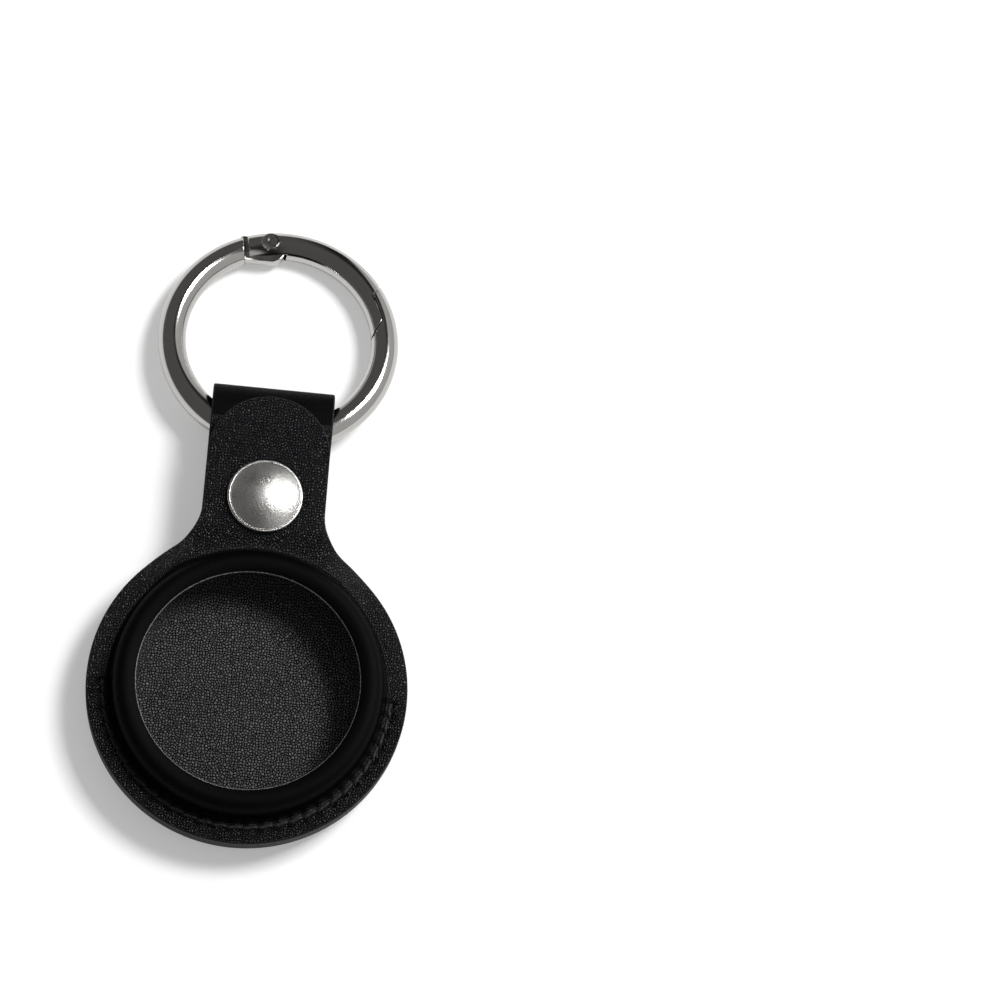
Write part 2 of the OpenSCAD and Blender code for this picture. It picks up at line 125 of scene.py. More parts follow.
def arc(centre: Point, radius: float, start: float, end: float, steps: int) -> list[Point]:
    """Points along a round of a side view.

    Args:
        centre: Centre of the round.
        radius: Radius of the round.
        start: First angle in degrees.
        end: Last angle in degrees.
        steps: Number of steps from the first point to the last.

    Returns:
        The points, both ends with them.
    """
    turns = [math.radians(start + (end - start) * i / steps) for i in range(steps + 1)]
    return [(centre[0] + radius * math.cos(a), centre[1] + radius * math.sin(a)) for a in turns]


def line(start: Point, end: Point, steps: int) -> list[Point]:
    """Points along a straight.

    Args:
        start: First point.
        end: Last point.
        steps: Number of steps from one to the other.

    Returns:
        The points, both ends with them.
    """
    return [
        (start[0] + (end[0] - start[0]) * i / steps, start[1] + (end[1] - start[1]) * i / steps)
        for i in range(steps + 1)
    ]


def mirrored(right: list[Point]) -> list[Point]:
    """Completes an outline of which the half with X above 0 is given, bottom first."""
    return right + [(-x, y) for x, y in right[-2:0:-1]]


def spoke(edge: Point) -> tuple[float, float, float]:
    """Returns how far out an edge point lies, and the direction to it in X and Y."""
    out = math.hypot(*edge)
    return out, edge[0] / out, edge[1] / out


def linear(value: str) -> tuple[float, float, float, float]:
    """Turns an sRGB hex colour into the linear colour that a shader takes.

    Args:
        value: Colour such as "#1b1b1d".

    Returns:
        Linear red, green, blue and an alpha of 1.
    """
    parts = [int(value[i : i + 2], 16) / 255.0 for i in (1, 3, 5)]
    red, green, blue = (
        c / 12.92 if c <= 0.04045 else ((c + 0.055) / 1.055) ** 2.4 for c in parts
    )
    return (red, green, blue, 1.0)


# ---------------------------------------------------------------- finishes


def add_node(
    tree: bpy.types.NodeTree,
    kind: str,
    inputs: dict[str | int, object] | None = None,
    **settings: object,
) -> bpy.types.Node:
    """Adds a node with its settings, its socket values and its links.

    Args:
        tree: Node tree that gets the node.
        kind: Node type's name, without the ShaderNode that all of them start with.
        inputs: Values by input name or number. An output socket is linked, and so is the
            first output of a node.
        **settings: Properties of the node.

    Returns:
        The new node.
    """
    node = tree.nodes.new("ShaderNode" + kind)
    for name, value in settings.items():
        setattr(node, name, value)
    for socket, value in (inputs or {}).items():
        if isinstance(value, bpy.types.Node):
            value = value.outputs[0]
        if isinstance(value, bpy.types.NodeSocket):
            tree.links.new(value, node.inputs[socket])
        else:
            node.inputs[socket].default_value = value
    return node


def new_tree(name: str) -> tuple[bpy.types.Material, bpy.types.NodeTree]:
    """Makes an empty node material.

    Args:
        name: Name of the material.

    Returns:
        The material and its tree.
    """
    material = bpy.data.materials.new(name)
    material.use_nodes = True
    material.node_tree.nodes.clear()
    return material, material.node_tree


def coat(
    tree: bpy.types.NodeTree, low: str, high: str, share: Source, inputs: dict[str, object]
) -> None:
    """Ends a material with a surface whose colour runs between two.

    Args:
        tree: Node tree of the material.
        low: Hex colour where the share is 0.
        high: Hex colour where the share is 1.
        share: Where the share comes from.
        inputs: Other inputs of the surface.
    """
    colour = add_node(
        tree, "Mix", {0: share, 6: linear(low), 7: linear(high)}, data_type="RGBA"
    ).outputs[2]
    surface = add_node(tree, "BsdfPrincipled", {"Base Color": colour, **inputs})
    add_node(tree, "OutputMaterial", {"Surface": surface})


def roughened(
    tree: bpy.types.NodeTree, place: Source, size: float, harsh: tuple[float, float],
    strength: float, depth: float,
) -> tuple[bpy.types.Node, bpy.types.Node]:
    """Roughens a surface with noise of a real size.

    Args:
        tree: Node tree of the material.
        place: Where the noise reads its place.
        size: Size of the noise in millimetres.
        harsh: Number of its finer layers, and their weight.
        strength: Strength of the bump.
        depth: Depth of the bump in millimetres.

    Returns:
        The noise, and the bumped normal.
    """
    noise = add_node(tree, "TexNoise", {
        "Vector": place, "Scale": 1 / (size * MM), "Detail": harsh[0], "Roughness": harsh[1],
    })
    bump = {"Height": noise, "Strength": strength, "Distance": depth * MM}
    return noise, add_node(tree, "Bump", bump)


@dataclass(frozen=True)
class GrainedLeather:
    """Cowhide split with an embossed polyurethane face.

    The rollers press pebbles a little under half a millimetre wide, parted by fine
    creases. Their shoulders glint in raking light while the black face stays deep. Where
    the sheet is drawn over a form, its pebbles are pulled flat and the face turns satin.
    """

    name: str
    colour: str = "#010102"
    # Colour of the pebble tops, lighter as painted highlight in place of their glints
    high: str = "#1c1c1e"
    pebble: float = 0.37
    relief: float = 0.085
    roughness: float = 0.22
    drawn_roughness: float = 0.55
    specular: float = 0.16
    wander: float = 0.3
    drift: float = 0.55
    pore: float = 0.22
    cloud: float = 7.0
    flattened: float = 0.16

    def build(self) -> bpy.types.Material:
        """Builds the material.

        Returns:
            Material that reads the point attributes "hide", a place on the flat sheet,
            and "drawn".
        """
        material, tree = new_tree(self.name)
        place = add_node(tree, "Attribute", attribute_name="hide").outputs["Vector"]
        drawn = add_node(tree, "Attribute", attribute_name="drawn").outputs["Fac"]
        # Drift that gives the creases their worm-like run
        drift = add_node(
            tree, "TexNoise", {"Vector": place, "Scale": 1 / (self.drift * MM), "Detail": 1.5}
        ).outputs["Color"]
        drift = add_node(
            tree, "VectorMath", {0: drift, 1: (0.5, 0.5, 0.5)}, operation="SUBTRACT"
        )
        moved = add_node(
            tree, "VectorMath", {0: drift, 1: (self.wander * MM,) * 3, 2: place},
            operation="MULTIPLY_ADD",
        )
        pebbles = add_node(
            tree, "TexVoronoi",
            {"Vector": moved, "Scale": 1 / (self.pebble * MM), "Randomness": 0.85},
            voronoi_dimensions="2D", feature="DISTANCE_TO_EDGE",
        )
        # A pebble is round on top and steep at its crease: one less the slope squared
        slope = add_node(
            tree, "MapRange", {"Value": pebbles, "From Max": 0.48, "To Min": 1.0, "To Max": 0.0}
        )
        dome = add_node(tree, "Math", {0: slope, 1: slope}, operation="MULTIPLY")
        dome = add_node(tree, "Math", {0: 1.0, 1: dome}, operation="SUBTRACT")
        pores = add_node(tree, "TexNoise", {
            "Vector": place, "Scale": 1 / (self.pore * MM), "Detail": 3.0, "Roughness": 0.6,
        })
        height = add_node(tree, "Math", {0: pores, 1: 0.5, 2: dome}, operation="MULTIPLY_ADD")
        kept = add_node(
            tree, "MapRange", {"Value": drawn, "To Min": 1.0, "To Max": self.flattened}
        )
        pressed = add_node(tree, "Math", {0: height, 1: kept}, operation="MULTIPLY")
        bump = add_node(
            tree, "Bump", {"Height": pressed, "Strength": 1.0, "Distance": self.relief * MM}
        )
        # Painted shade and highlight: the colour is darkened in the creases and lightened on the pebble tops
        # in place of their glints, less so where the hide is drawn; the coat on the pebbles is also a little
        # cloudy
        cloudy = add_node(tree, "TexNoise", {
            "Vector": place, "Scale": 1 / (self.cloud * MM), "Detail": 4.0, "Roughness": 0.55,
        })
        face = add_node(
            tree, "MapRange", {"Value": pebbles, "From Min": 0.05, "From Max": 0.34},
            interpolation_type="SMOOTHSTEP",
        )
        shade = add_node(tree, "MapRange", {"Value": cloudy, "To Min": 0.7, "To Max": 1.2})
        cloud_and_painted_grain_light = add_node(
            tree, "Math", {0: face, 1: shade}, operation="MULTIPLY", use_clamp=True
        )
        cloud_and_painted_grain_light = add_node(tree, "Math", {0: cloud_and_painted_grain_light, 1: kept}, operation="MULTIPLY")
        satin = add_node(
            tree, "MapRange",
            {"Value": drawn, "To Min": self.roughness, "To Max": self.drawn_roughness},
        )
        rough = add_node(tree, "Math", {0: cloudy, 1: 0.1, 2: satin}, operation="MULTIPLY_ADD")
        coat(tree, self.colour, self.high, cloud_and_painted_grain_light, {
            "Roughness": rough, "Normal": bump, "IOR": 1.5, "Specular IOR Level": self.specular,
        })
        return material


@dataclass(frozen=True)
class PaintedEdge:
    """Cut edge of split leather, sealed with black edge paint.

    The blade leaves fibres that the paint only half fills, so the edge is duller and a
    little lighter than the face, with fine streaks along the layers.
    """

    name: str = "split_leather_painted_edge"
    colour: str = "#090909"
    fibre: str = "#1e1d1c"
    roughness: float = 0.55
    blend: float = 1.0

    def build(self) -> bpy.types.Material:
        """Builds the material, whose colours part more sharply where blend is small.

        Returns:
            Material that reads places on the object.
        """
        material, tree = new_tree(self.name)
        place = add_node(tree, "TexCoord").outputs["Object"]
        flat = add_node(tree, "Mapping", {"Vector": place, "Scale": (1.0, 1.0, 3.5)})
        fibres, normal = roughened(tree, flat, 0.3, (4.0, 0.7), 0.8, 0.05)
        low, high = 0.5 - self.blend / 2, 0.5 + self.blend / 2
        streaks = add_node(
            tree, "MapRange", {"Value": fibres, "From Min": low, "From Max": high}
        )
        coat(tree, self.colour, self.fibre, streaks, {
            "Roughness": self.roughness, "Specular IOR Level": 0.15, "Normal": normal,
        })
        return material


@dataclass(frozen=True)
class BondedThread:
    """Bonded polyester thread, three plies twisted and waxed black.

    Each waxed ply gets a narrow grey glint painted into its colour, broken by loose filaments.
    """

    name: str = "bonded_polyester_thread"
    colour: str = "#09090a"
    glint: str = "#1b1b1d"

    def build(self) -> bpy.types.Material:
        """Builds the material.

        Returns:
            Material that reads places on the object.
        """
        material, tree = new_tree(self.name)
        place = add_node(tree, "TexCoord").outputs["Object"]
        filaments, normal = roughened(tree, place, 0.12, (3.0, 0.65), 0.7, 0.03)
        # Painted highlight: the glint colour is mixed into the thread's colour along its filaments
        coat(tree, self.colour, self.glint, filaments, {
            "Roughness": 0.5, "Specular IOR Level": 0.3, "Normal": normal, "Sheen Weight": 0.08,
        })
        return material


@dataclass(frozen=True)
class PadPrint:
    """Pad-printed ink, one flat blue coat over the grain.

    The silicone pad lays an even matt film, in which the pebbles below only just show,
    and its blue is a little darker in the creases.
    """

    name: str = "pad_printed_ink"
    colour: str = "#2ba8e2"
    deep: str = "#2398d2"
    pebble: float = 0.46

    def build(self) -> bpy.types.Material:
        """Builds the material.

        Returns:
            Material that reads places on the object.
        """
        material, tree = new_tree(self.name)
        place = add_node(tree, "TexCoord").outputs["Object"]
        pebbles = add_node(
            tree, "TexVoronoi", {"Vector": place, "Scale": 1 / (self.pebble * MM)},
            feature="DISTANCE_TO_EDGE",
        )
        film = add_node(
            tree, "MapRange", {"Value": pebbles, "From Max": 0.25},
            interpolation_type="SMOOTHSTEP",
        )
        bump = add_node(
            tree, "Bump", {"Height": film, "Strength": 0.6, "Distance": 0.012 * MM}
        )
        coat(tree, self.deep, self.colour, film, {"Roughness": 0.5, "Normal": bump})
        return material


@dataclass(frozen=True)
class NickelPlate:
    """Nickel plate over zinc or brass.

    Tumbled and plated bright, it mirrors the room, with hairline polishing marks and the
    slight orange peel of the plating bath. Barrel plating leaves small parts speckled.
    """

    name: str
    colour: str = "#d9d7d4"
    speck: str = "#8b8986"
    roughness: float = 0.09
    spread: float = 0.05
    mark: float = 0.35
    relief: float = 0.0025
    speckle: float = 0.0

    def build(self) -> bpy.types.Material:
        """Builds the material.

        Returns:
            Material that reads places on the object.
        """
        material, tree = new_tree(self.name)
        place = add_node(tree, "TexCoord").outputs["Object"]
        peel, normal = roughened(tree, place, self.mark, (4.0, 0.65), 1.0, self.relief)
        wear = add_node(tree, "TexNoise", {
            "Vector": place, "Scale": 1 / (2.4 * MM), "Detail": 5.0, "Roughness": 0.7,
        })
        rough = add_node(tree, "MapRange", {
            "Value": wear, "From Min": 0.3, "From Max": 0.7,
            "To Min": self.roughness, "To Max": self.roughness + self.spread,
        })
        specks = add_node(tree, "MapRange", {
            "Value": peel, "From Min": 0.35, "From Max": 0.65, "To Min": 1.0 - self.speckle,
        })
        coat(tree, self.speck, self.colour, specks, {
            "Metallic": 1.0, "Roughness": rough, "Normal": normal,
        })
        return material


Finish = GrainedLeather | PaintedEdge | BondedThread | PadPrint | NickelPlate

LEATHER = GrainedLeather("embossed_split_leather")
# Rim and loop are stretched over their form: the grain is gone and the face stays matt
DRAWN = GrainedLeather(
    "drawn_split_leather", colour="#020202", high="#060606", roughness=0.4, specular=0.05,
)
# The lining's pale high colour is painted highlight on its pebble tops, in place of their glints
LINING = GrainedLeather(
    "embossed_lining_split", colour="#020202", high="#5b5b5d", relief=0.14,
    roughness=0.3, specular=0.22,
)
EDGE = PaintedEdge()
# The window is cut after dyeing, so its corner shows the paler split, and its pale line is also a painted
# highlight where the corner catches the light
CORNER = PaintedEdge(
    "split_leather_pale_corner_and_painted_highlight", colour="#22211f", fibre="#b3aea7", blend=0.3,
)
THREAD = BondedThread()
INK = PadPrint()
RING_NICKEL = NickelPlate("bright_nickel_plate", colour="#b6b4b1")
CAP_NICKEL = NickelPlate(
    "barrel_plated_nickel", roughness=0.24, spread=0.14, mark=0.2, relief=0.045, speckle=0.5
)
INNER_NICKEL = NickelPlate("plain_nickel_plate", roughness=0.2, spread=0.1, mark=0.3)
STEEL = NickelPlate(
    "drawn_spring_steel", colour="#a9a8a6", roughness=0.3, mark=0.08, relief=0.004
)

_BUILT: dict[str, bpy.types.Material] = {}


def finish_of(finish: Finish) -> bpy.types.Material:
    """Builds a finish's material the first time it is asked for.

    Args:
        finish: Finish that is wanted.

    Returns:
        The one material of that finish.
    """
    name = finish.name
    if name not in _BUILT:
        _BUILT[name] = finish.build()
    return _BUILT[name]


# ---------------------------------------------------------------- mesh work


def spun(row: Sequence[Vector], centre: Vector, steps: int) -> bmesh.types.BMesh:
    """Spins a row of points a full turn round an upright axis.

    Args:
        row: Places of the points.
        centre: Place on the axis.
        steps: Number of steps of the turn.

    Returns:
        Mesh whose last step is merged with its first.
    """
    bm = bmesh.new()
    verts = [bm.verts.new(place) for place in row]
    edges = [bm.edges.new(pair) for pair in zip(verts, verts[1:])]
    bmesh.ops.spin(
        bm, geom=verts + edges, cent=centre, axis=(0, 0, 1), angle=2 * math.pi,
        steps=steps, use_merge=True, use_duplicate=False,
    )
    return bm


def washer(rows: int, columns: int) -> bmesh.types.BMesh:
    """Spins a flat washer of rings and spokes, ready to be moulded.

    Args:
        rows: Number of rings.
        columns: Number of spokes, counted from -Y.

    Returns:
        Mesh whose ring number is its radius less one.
    """
    return spun([Vector((0.0, -(row + 1.0), 0.0)) for row in range(rows)], Vector(), columns)


def mould(bm: bmesh.types.BMesh, columns: int, place: Callable[[int, int], Spot]) -> None:
    """Moves a washer's vertices onto their form, and notes their hide and its draw.

    Args:
        bm: Washer to mould.
        columns: Its number of spokes.
        place: Gives x, y and z in millimetres and the draw for a ring and a spoke.
    """
    drawn = bm.verts.layers.float.new("drawn")
    hide = bm.verts.layers.float_vector.new("hide")
    for vert in bm.verts:
        row = round(math.hypot(vert.co.x, vert.co.y)) - 1
        turn = (math.atan2(vert.co.y, vert.co.x) + math.pi / 2) / (2 * math.pi)
        x, y, z, draw = place(row, round(turn * columns) % columns)
        vert.co = Vector((x, y, z)) * MM
        vert[hide] = Vector((x, y, z)) * MM
        vert[drawn] = draw


def turned(profile: Sequence[Point], centre: Point, steps: int) -> bmesh.types.BMesh:
    """Spins a side view round an upright axis.

    Args:
        profile: Radius and height of its points in millimetres.
        centre: X and Y of the axis.
        steps: Number of steps of the full turn.

    Returns:
        Closed-up mesh in metres.
    """
    axis = Vector((centre[0], centre[1], 0.0)) * MM
    bm = spun([axis + Vector((r, 0.0, z)) * MM for r, z in profile], axis, steps)
    bmesh.ops.remove_doubles(bm, verts=bm.verts, dist=WELD)
    bmesh.ops.recalc_face_normals(bm, faces=bm.faces)
    return bm


def face_to(bm: bmesh.types.BMesh, spot: Vector, outward: Vector) -> None:
    """Turns an open sheet's faces so that the one nearest a spot looks outward.

    Args:
        bm: Sheet whose doubles are already merged.
        spot: Place on the sheet in metres.
        outward: Direction that the face there has to look.
    """
    bmesh.ops.recalc_face_normals(bm, faces=bm.faces)
    near = min(bm.faces, key=lambda f: (f.calc_center_median() - spot).length_squared)
    if near.normal.dot(outward) < 0:
        bmesh.ops.reverse_faces(bm, faces=bm.faces)


def add_piece(
    name: str, bm: bmesh.types.BMesh, finishes: Sequence[Finish], crease: float = CREASE
) -> bpy.types.Object:
    """Makes an object of a mesh, smooth but for its creases, and dresses it.

    Args:
        name: Name of the piece.
        bm: Finished mesh, which is freed.
        finishes: Finishes in the order of the mesh's material numbers.
        crease: Angle in degrees above which an edge stays sharp.

    Returns:
        The object, at the origin.
    """
    mesh = bpy.data.meshes.new(name)
    bm.to_mesh(mesh)
    bm.free()
    for finish in finishes:
        mesh.materials.append(finish_of(finish))
    mesh.shade_smooth()
    mesh.set_sharp_from_angle(angle=math.radians(crease))
    piece = bpy.data.objects.new(name, mesh)
    bpy.context.scene.collection.objects.link(piece)
    return piece


def settle(piece: bpy.types.Object) -> None:
    """Applies a piece's modifiers to its mesh and marks its creases.

    Args:
        piece: Object whose modifiers are done.
    """
    depsgraph = bpy.context.evaluated_depsgraph_get()
    mesh = bpy.data.meshes.new_from_object(
        piece.evaluated_get(depsgraph), preserve_all_data_layers=True, depsgraph=depsgraph
    )
    piece.modifiers.clear()
    old, piece.data = piece.data, mesh
    mesh.name = piece.name
    bpy.data.meshes.remove(old)
    mesh.shade_smooth()
    mesh.set_sharp_from_angle(angle=math.radians(CREASE))


def thicken(
    piece: bpy.types.Object, thickness: float, edge: float, group: str = "", bevel_slot: int = 1
) -> None:
    """Gives a sheet its thickness below its face, and breaks its cut edges.

    Args:
        piece: Object of the sheet's face.
        thickness: Thickness in millimetres.
        edge: Width of the broken edge in millimetres, or 0 for none.
        group: Vertex group that holds the share of the thickness, if any.
        bevel_slot: Material slot of the broken edge.
    """
    wall = piece.modifiers.new("thickness", "SOLIDIFY")
    wall.thickness = thickness * MM
    wall.offset = -1.0
    wall.use_even_offset = True
    wall.material_offset_rim = 1
    if group:
        wall.vertex_group = group
        wall.thickness_vertex_group = 0.0
    settle(piece)
    if not edge:
        return
    bm = bmesh.new()
    bm.from_mesh(piece.data)
    cut = [
        e for e in bm.edges
        if len(e.link_faces) == 2 and {f.material_index for f in e.link_faces} == {0, 1}
    ]
    made = bmesh.ops.bevel(
        bm, geom=cut, affect="EDGES", offset_type="OFFSET", offset=edge * MM,
        segments=2, profile=0.5, material=-1, clamp_overlap=False,
    )
    for face in made["faces"]:
        face.material_index = bevel_slot
        face.smooth = True
    bm.to_mesh(piece.data)
    bm.free()


def stretch(piece: bpy.types.Object, slot: int) -> None:
    """Gives the faces of a sheet that are drawn most their own finish.

    Args:
        piece: Finished sheet with the point attribute "drawn".
        slot: Material slot of the drawn faces.
    """
    drawn = piece.data.attributes["drawn"].data
    for face in piece.data.polygons:
        least = min(drawn[i].value for i in face.vertices)
        if face.material_index == 0 and least > DRAWN_FLAT:
            face.material_index = slot


def hand_over(
    piece: bpy.types.Object, replaced: Sequence[str], body: Body | None
) -> None:
    """Hides the CAD nodes that a piece stands for, and hangs it on the body that it rides on, if any.

    Args:
        piece: Finished object.
        replaced: CAD nodes that it stands for.
        body: Body that it rides on, or None where it bends between two.
    """
    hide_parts(*replaced)
    if body is not None:
        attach(piece, body.value)
    LOG.info("%s: %d faces", piece.name, len(piece.data.polygons))


# ---------------------------------------------------------------- leather goods


@dataclass(frozen=True)
class Pocket:
    """Sizes that the layers of the pocket share."""

    disc_r: float = 21.1
    foot_r: float = 18.3
    crest_r: float = 16.1
    crest_z: float = 9.8
    front_z: float = 6.2
    dome_z: float = 3.2
    base_r: float = 12.37
    dome_bend: float = 6.5
    dome_foot: float = 0.6
    dome_turn: float = 56.66
    strap_half: float = 8.2
    sheet: float = 1.2
    cut_edge: float = 0.2
    edge_row: float = 0.32
    snap_y: float = 25.1
    stitch_r: float = 18.9
    stitch_turn: float = 176.0
    stitches: int = 29
    # Thread's pull: how far from the row and along Y it reaches, and its widths
    pull_reach: float = 1.6
    pull_end: float = 1.4
    pull_width: float = 0.75
    hole_width: float = 0.62
    between_holes: float = 0.25
    dent_deep: float = 0.12
    dent_r: float = 5.1
    dent_width: float = 0.75

    def fillet(self, radius: float) -> tuple[Point, float]:
        """Places the round between disc and strap.

        Args:
            radius: Radius of the round.

        Returns:
            Its centre, and the angle in degrees at which it meets the disc.
        """
        cx = self.strap_half + radius
        cy = math.sqrt((self.disc_r + radius) ** 2 - cx**2)
        return (cx, cy), math.degrees(math.atan2(cy, cx))

    def slope(self, inset: float, bend_steps: int, foot_steps: int) -> list[Point]:
        """Section of the dome's slope, from its flat to its foot.

        Args:
            inset: Height above the dome's outer face.
            bend_steps: Steps round the bend of the flat.
            foot_steps: Steps round the foot.

        Returns:
            Radius and height of its points.
        """
        turn, foot_z = self.dome_turn, self.dome_z - self.dome_foot
        bend = arc(
            (self.base_r, self.dome_bend), self.dome_bend - inset, -90, -90 + turn, bend_steps
        )
        foot = arc((self.foot_r, foot_z), self.dome_foot + inset, 90 + turn, 90, foot_steps)
        return bend + foot[1:]

    def dent(self, x: float, y: float) -> float:
        """Returns how deep the edge of a snap cap presses the leather at a place."""
        off = math.hypot(x, y - self.snap_y) - self.dent_r
        return self.dent_deep * bell(off, self.dent_width)

    def stitch_angles(self) -> list[float]:
        """Returns the angles of the needle holes in degrees, from -X round by -Y."""
        start = -90.0 - self.stitch_turn / 2
        return [start + self.stitch_turn * i / self.stitches for i in range(self.stitches + 1)]

    def pucker(self, x: float, y: float, deep: float) -> float:
        """Depth to which the thread pulls the leather in at a place.

        Args:
            x: Place across the strap.
            y: Place along the strap.
            deep: Depth at a needle hole.

        Returns:
            Depth in millimetres.
        """
        radius = math.hypot(x, y)
        off = abs(radius - self.stitch_r)
        if off > self.pull_reach or y > self.pull_end:
            return 0.0
        step = self.stitch_turn / self.stitches
        angle = math.degrees(math.atan2(y, x))
        along = (angle + 90.0 + self.stitch_turn / 2) % 360.0
        hole = abs(along / step - round(along / step)) * math.radians(step) * radius
        past_start = along if along < 300 else along - 360
        inside = ease(-2.5, 1.0, min(past_start, self.stitch_turn - along))
        least = self.between_holes
        share = least + (1.0 - least) * bell(hole, self.hole_width)
        return deep * inside * bell(off, self.pull_width) * share


@dataclass
class FrontLeather:
    """Front sheet: lip, drawn rim, stitched flange and tongue, cut from one piece."""

    pocket: Pocket
    window_r: float = 14.5
    lip_bend: float = 2.8
    rim_bend: float = 1.5
    rim_foot: float = 0.7
    fillet: float = 7.0
    tip_y: float = 39.0
    dip_top: float = 8.6
    tongue_top: float = 9.45
    crown_top: float = 10.115
    dip_run: Point = (18.4, 20.9)
    crown_run: Point = (30.4, 35.6)
    rise_run: Point = (3.0, 9.0)
    rise_half: Point = (15.4, 7.6)
    swell: float = 0.38
    pull: float = 0.8
    droop: float = 0.5
    droop_held: float = 0.35
    least_wall: float = 0.06
    foot_draw: float = 0.65
    columns: int = 480
    rows_lip: int = 6
    rows_bend: int = 8
    rows_wall: int = 2
    rows_foot: int = 6
    rows_sheet: int = 35

    def outline(self) -> list[Point]:
        """Points of the cut outline, evenly spaced from the bottom round by +X.

        Returns:
            As many points as the sheet has columns.
        """
        half, r = self.pocket.strap_half, self.fillet
        centre, touch = self.pocket.fillet(r)
        tip = self.tip_y - half
        runs = (
            arc((0.0, 0.0), self.pocket.disc_r, -90.0, touch, 400)
            + arc(centre, r, touch + 180.0, 180.0, 80)[1:]
            + line((half, centre[1]), (half, tip), 80)[1:]
            + arc((0.0, tip), half, 0.0, 90.0, 120)[1:]
        )
        reach = [0.0]
        for a, b in zip(runs, runs[1:]):
            reach.append(reach[-1] + math.dist(a, b))
        right: list[Point] = []
        count, k = self.columns // 2, 0
        for i in range(count + 1):
            goal = reach[-1] * i / count
            while k < len(reach) - 2 and reach[k + 1] < goal:
                k += 1
            share = (goal - reach[k]) / (reach[k + 1] - reach[k])
            a, b = runs[k], runs[k + 1]
            right.append((a[0] + (b[0] - a[0]) * share, a[1] + (b[1] - a[1]) * share))
        return mirrored(right)

    def level(self, x: float, y: float) -> float:
        """Height of the sheet's face outside the rim.

        Args:
            x: Place across the strap.
            y: Place along the strap.

        Returns:
            Height in millimetres.
        """
        pocket = self.pocket
        low = pocket.front_z
        # Between rim and edge the loose flange swells, and rolls off towards its edge
        part = (math.hypot(x, y) - pocket.foot_r) / (pocket.disc_r - pocket.foot_r)
        part = min(1.0, max(0.0, part))
        swell = self.swell * (1.0 - part * part) * ease(-5.0, 1.0, y)
        if y <= 2.0:
            return low + swell - pocket.pucker(x, y, self.pull)
        top = self.dip_top + (self.tongue_top - self.dip_top) * ease(*self.dip_run, y)
        top += (self.crown_top - self.tongue_top) * ease(*self.crown_run, y)
        share = ease(*self.rise_half, abs(x)) * ease(*self.rise_run, y)
        z = low + swell * (1.0 - share) + (top - low) * share
        # The tongue's edges droop a little, and less where it lies on the loop
        droop = self.droop * ease(19.0, 23.0, y) - self.droop_held * ease(30.0, 35.0, y)
        z -= droop * (abs(x) / pocket.strap_half) ** 3
        return z - pocket.dent(x, y)

    def section(self, edge: Point) -> list[Spot]:
        """Places of the sheet's face along a spoke, from the window to the cut edge.

        Args:
            edge: Where the spoke ends, on the outline.

        Returns:
            X, Y and Z in millimetres, and how far the hide is drawn there.
        """
        pocket, bend, foot = self.pocket, self.rim_bend, self.rim_foot
        out, ux, uy = spoke(edge)
        crest = (pocket.crest_r, pocket.crest_z)
        lean = math.asin((crest[0] - self.window_r) / self.lip_bend)
        drop = crest[1] - self.level(pocket.foot_r * ux, pocket.foot_r * uy)
        # Where the sheet outside lies high, the rim has no room for a whole quarter turn
        straight = max(self.least_wall, drop - bend - foot)
        turn = math.acos(max(0.0, 1 - (drop - straight) / (bend + foot)))
        down = (math.cos(turn), -math.sin(turn))
        lip = arc(
            (crest[0], crest[1] - self.lip_bend), self.lip_bend,
            90 + math.degrees(lean), 90, self.rows_lip,
        )
        round_out = arc(
            (crest[0], crest[1] - bend), bend, 90, 90 - math.degrees(turn), self.rows_bend
        )
        top = round_out[-1]
        low = (top[0] + straight * down[0], top[1] + straight * down[1])
        wall = line(top, low, self.rows_wall)
        middle = (low[0] - foot * down[1], low[1] + foot * down[0])
        round_in = arc(middle, foot, 270 - math.degrees(turn), 270, self.rows_foot)
        places = [(r * ux, r * uy, z, 1.0) for r, z in lip + round_out[1:] + wall[1:]]
        places += [
            (r * ux, r * uy, z, 1.0 - (1.0 - self.foot_draw) * i / self.rows_foot)
            for i, (r, z) in enumerate(round_in[1:], 1)
        ]
        start, low_z = middle[0], middle[1] - foot
        last = out - pocket.edge_row
        radii = [r for r, _ in line((start, 0.0), (last, 0.0), self.rows_sheet - 1)[1:]] + [out]
        for r in radii:
            x, y = r * ux, r * uy
            z = low_z + (self.level(x, y) - low_z) * ease(0.0, 1.2, r - start)
            places.append((x, y, z, self.foot_draw * (1 - ease(0.0, 0.9, r - start))))
        return places

    def build(self) -> None:
        """Builds and dresses the sheet, which bends at the ends of the stitching."""
        sections = [self.section(edge) for edge in self.outline()]
        bm = washer(len(sections[0]), self.columns)
        mould(bm, self.columns, lambda row, column: sections[column][row])
        face_to(bm, Vector((0.0, -20.0, self.pocket.front_z)) * MM, Vector((0, 0, 1)))
        piece = add_piece("front_leather", bm, [LEATHER, EDGE, CORNER, DRAWN])
        thicken(piece, self.pocket.sheet, self.pocket.cut_edge, bevel_slot=2)
        # Only the window's corner is pale, as split and as painted highlight; the outer edges are painted
        for face in piece.data.polygons:
            if face.material_index == 2 and face.center.xy.length > (self.window_r + 1.0) * MM:
                face.material_index = 1
        stretch(piece, 3)
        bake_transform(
            piece, Body.HOLDER.value, Body.FLAP.value,
            start=(0.0, -0.6 * MM, 7.6 * MM), end=(0.0, 11.0 * MM, 7.6 * MM),
        )
        hand_over(piece, ["front_panel", "front_flap"], None)


